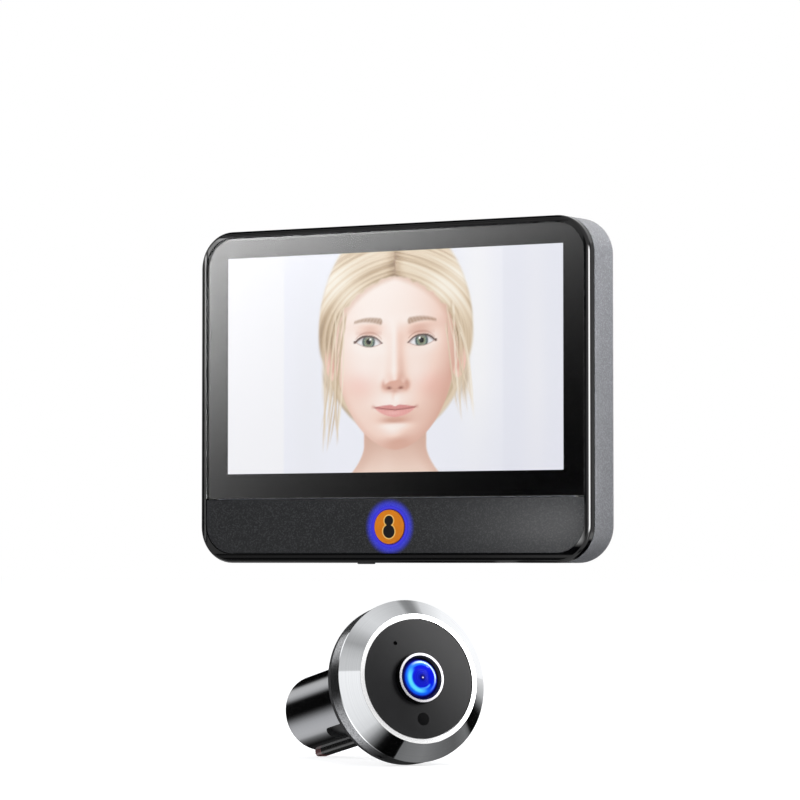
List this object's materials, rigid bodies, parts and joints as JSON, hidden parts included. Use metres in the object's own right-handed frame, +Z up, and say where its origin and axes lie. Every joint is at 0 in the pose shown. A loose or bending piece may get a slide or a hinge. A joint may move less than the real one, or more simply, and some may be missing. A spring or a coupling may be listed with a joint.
{
  "type": "peephole door camera",
  "caption": "Indoor screen on a hook-on door bracket, with a round bevelled camera unit whose barrel goes through the door's peephole.",
  "frame": {"origin": "on the peephole's axis, at the back face of the bracket's plate, 0.8 mm in front of the door", "axes": "+Z up, +Y out through the door, +X to the right of a person who faces the screen"},
  "size_m": [0.11, 0.0634, 0.1294],
  "materials": {
    "gloss_black": "piano black moulded plastic",
    "cover_glass": "clear toughened glass",
    "black_print": "black printed film",
    "panel_grey": "fine textured grey plastic",
    "shell_grey": "metallic grey textured plastic",
    "display_white": "lit display behind its polariser",
    "plated_steel": "nickel plated sheet",
    "amber_flex": "polyimide flexible strip",
    "moulded_black": "black moulded plastic",
    "moulded_ivory": "ivory connector plastic",
    "button_orange": "orange moulded cap",
    "light_guide": "clear light guide lit blue",
    "lamp_white": "lamp resin",
    "board_green": "solder mask over glass laminate",
    "pouch_silver": "laminated pouch foil",
    "foam_black": "closed cell foam",
    "foam_white": "white adhesive foam",
    "zinc_steel": "zinc plated steel",
    "cloth_black": "fine dust mesh",
    "chrome": "polished chrome plating",
    "bright_aluminium": "satin bright aluminium",
    "face_grey": "dark satin acrylic",
    "lens_glass": "coated optical glass",
    "filter_glass": "infrared cut filter",
    "sensor_die": "sensor under cover glass",
    "window_smoke": "smoked plastic",
    "die_cast_grey": "satin plated die casting",
    "rubber_black": "black rubber",
    "brass": "machined brass",
    "plug_red": "dark red moulded plug"
  },
  "bodies": {
    "bracket_and_camera": {"door_bracket": "zinc_steel", "bracket_pads": "foam_white", "camera_ring": "chrome", "trim_ring": "bright_aluminium", "face_panel": "face_grey", "lens_housing": "moulded_black", "lens_ring": "chrome", "front_lens": "lens_glass", "iris_ring": "moulded_black", "rear_lens": "lens_glass", "ir_filter": "filter_glass", "lens_seal": "rubber_black", "image_sensor": "sensor_die", "sensor_window": "window_smoke", "light_sensor": "moulded_black", "microphone": "pouch_silver", "camera_board": "board_green", "flange_base": "die_cast_grey", "flange_screws": "zinc_steel", "flange_gasket": "foam_black", "barrel": "gloss_black", "screw_inserts": "brass", "camera_lead": "rubber_black", "lead_plug": "plug_red"},
    "monitor": {"front_frame": "gloss_black", "screen_glass": "cover_glass", "screen_border": "black_print", "lower_panel": "panel_grey", "lcd_tray": "plated_steel", "lcd_panel": "display_white", "display_ribbon": "amber_flex", "ribbon_connector": "moulded_ivory", "light_ring": "light_guide", "tact_switch": "plated_steel", "button_leds": "lamp_white", "main_board": "board_green", "board_chips": "moulded_black", "shield_can": "plated_steel", "battery": "pouch_silver", "battery_tape": "foam_white", "rear_cover": "shell_grey", "housing_screws": "zinc_steel", "speaker": "moulded_black", "grille_cloth": "cloth_black", "usb_socket": "plated_steel", "power_switch": "plated_steel", "card_slot": "plated_steel", "lead_socket": "moulded_ivory"},
    "call_button": {"button_cap": "button_orange", "switch_plunger": "moulded_black"},
    "power_switch_knob": {"power_knob": "moulded_black"}
  },
  "joints": [
    {"name": "monitor_lift", "type": "slide", "parent": "bracket_and_camera", "child": "monitor", "axis": [0, 0, 1], "range_m": [0, 0.0045]},
    {"name": "call_button_press", "type": "slide", "parent": "monitor", "child": "call_button", "axis": [0, 1, 0], "range_m": [0, 0.0005], "stiffness_N_per_m": 3200},
    {"name": "power_slide", "type": "slide", "parent": "monitor", "child": "power_switch_knob", "axis": [1, 0, 0], "range_m": [0, 0.002]}
  ]
}
